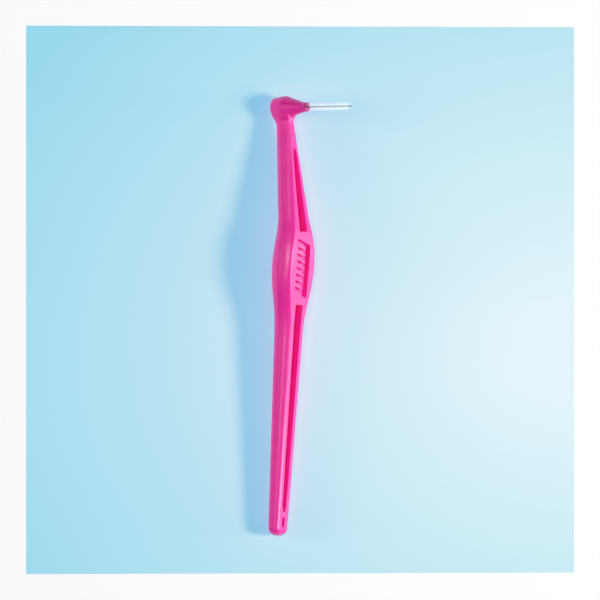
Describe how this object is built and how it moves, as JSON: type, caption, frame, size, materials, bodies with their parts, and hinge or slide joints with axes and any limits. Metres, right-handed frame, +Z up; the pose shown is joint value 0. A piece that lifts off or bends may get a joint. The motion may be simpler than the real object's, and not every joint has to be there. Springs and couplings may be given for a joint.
{
  "type": "interdental brush",
  "caption": "Long slim handle with a swollen ribbed grip and a round head at its end that carries a short straight wire brush set square to the handle.",
  "frame": {"origin": "on the table under the middle of the whole brush, as it lies on its side", "axes": "+Y along the handle from the tail end to the head, +X to the side the brush points to, +Z up from the table"},
  "size_m": [0.0252, 0.1408, 0.0232],
  "materials": {
    "handle_plastic": "satin moulded polypropylene",
    "wire_steel": "satin thin plastic coating over steel",
    "filament_nylon": "matte translucent nylon"
  },
  "bodies": {
    "handle": {"handle": "handle_plastic"},
    "brush": {"twisted_wire": "wire_steel", "bristle_row_01": "filament_nylon", "bristle_row_02": "filament_nylon", "bristle_row_03": "filament_nylon", "bristle_row_04": "filament_nylon", "bristle_row_05": "filament_nylon", "bristle_row_06": "filament_nylon", "bristle_row_07": "filament_nylon", "bristle_row_08": "filament_nylon", "bristle_row_09": "filament_nylon", "bristle_row_10": "filament_nylon", "bristle_row_11": "filament_nylon", "bristle_row_12": "filament_nylon", "bristle_row_13": "filament_nylon", "bristle_row_14": "filament_nylon", "bristle_row_15": "filament_nylon", "bristle_row_16": "filament_nylon", "bristle_row_17": "filament_nylon", "bristle_row_18": "filament_nylon", "bristle_row_19": "filament_nylon", "bristle_row_20": "filament_nylon"}
  },
  "joints": [
    {"name": "wire_flex", "type": "hinge", "parent": "handle", "child": "brush", "pos_m": [-0.00047, 0.06668, 0.011], "axis": [-0.6773, 0.0027, 0.7357], "range_deg": [-20, 20], "stiffness_Nm_per_rad": 0.005, "deforming": ["twisted_wire"]}
  ]
}
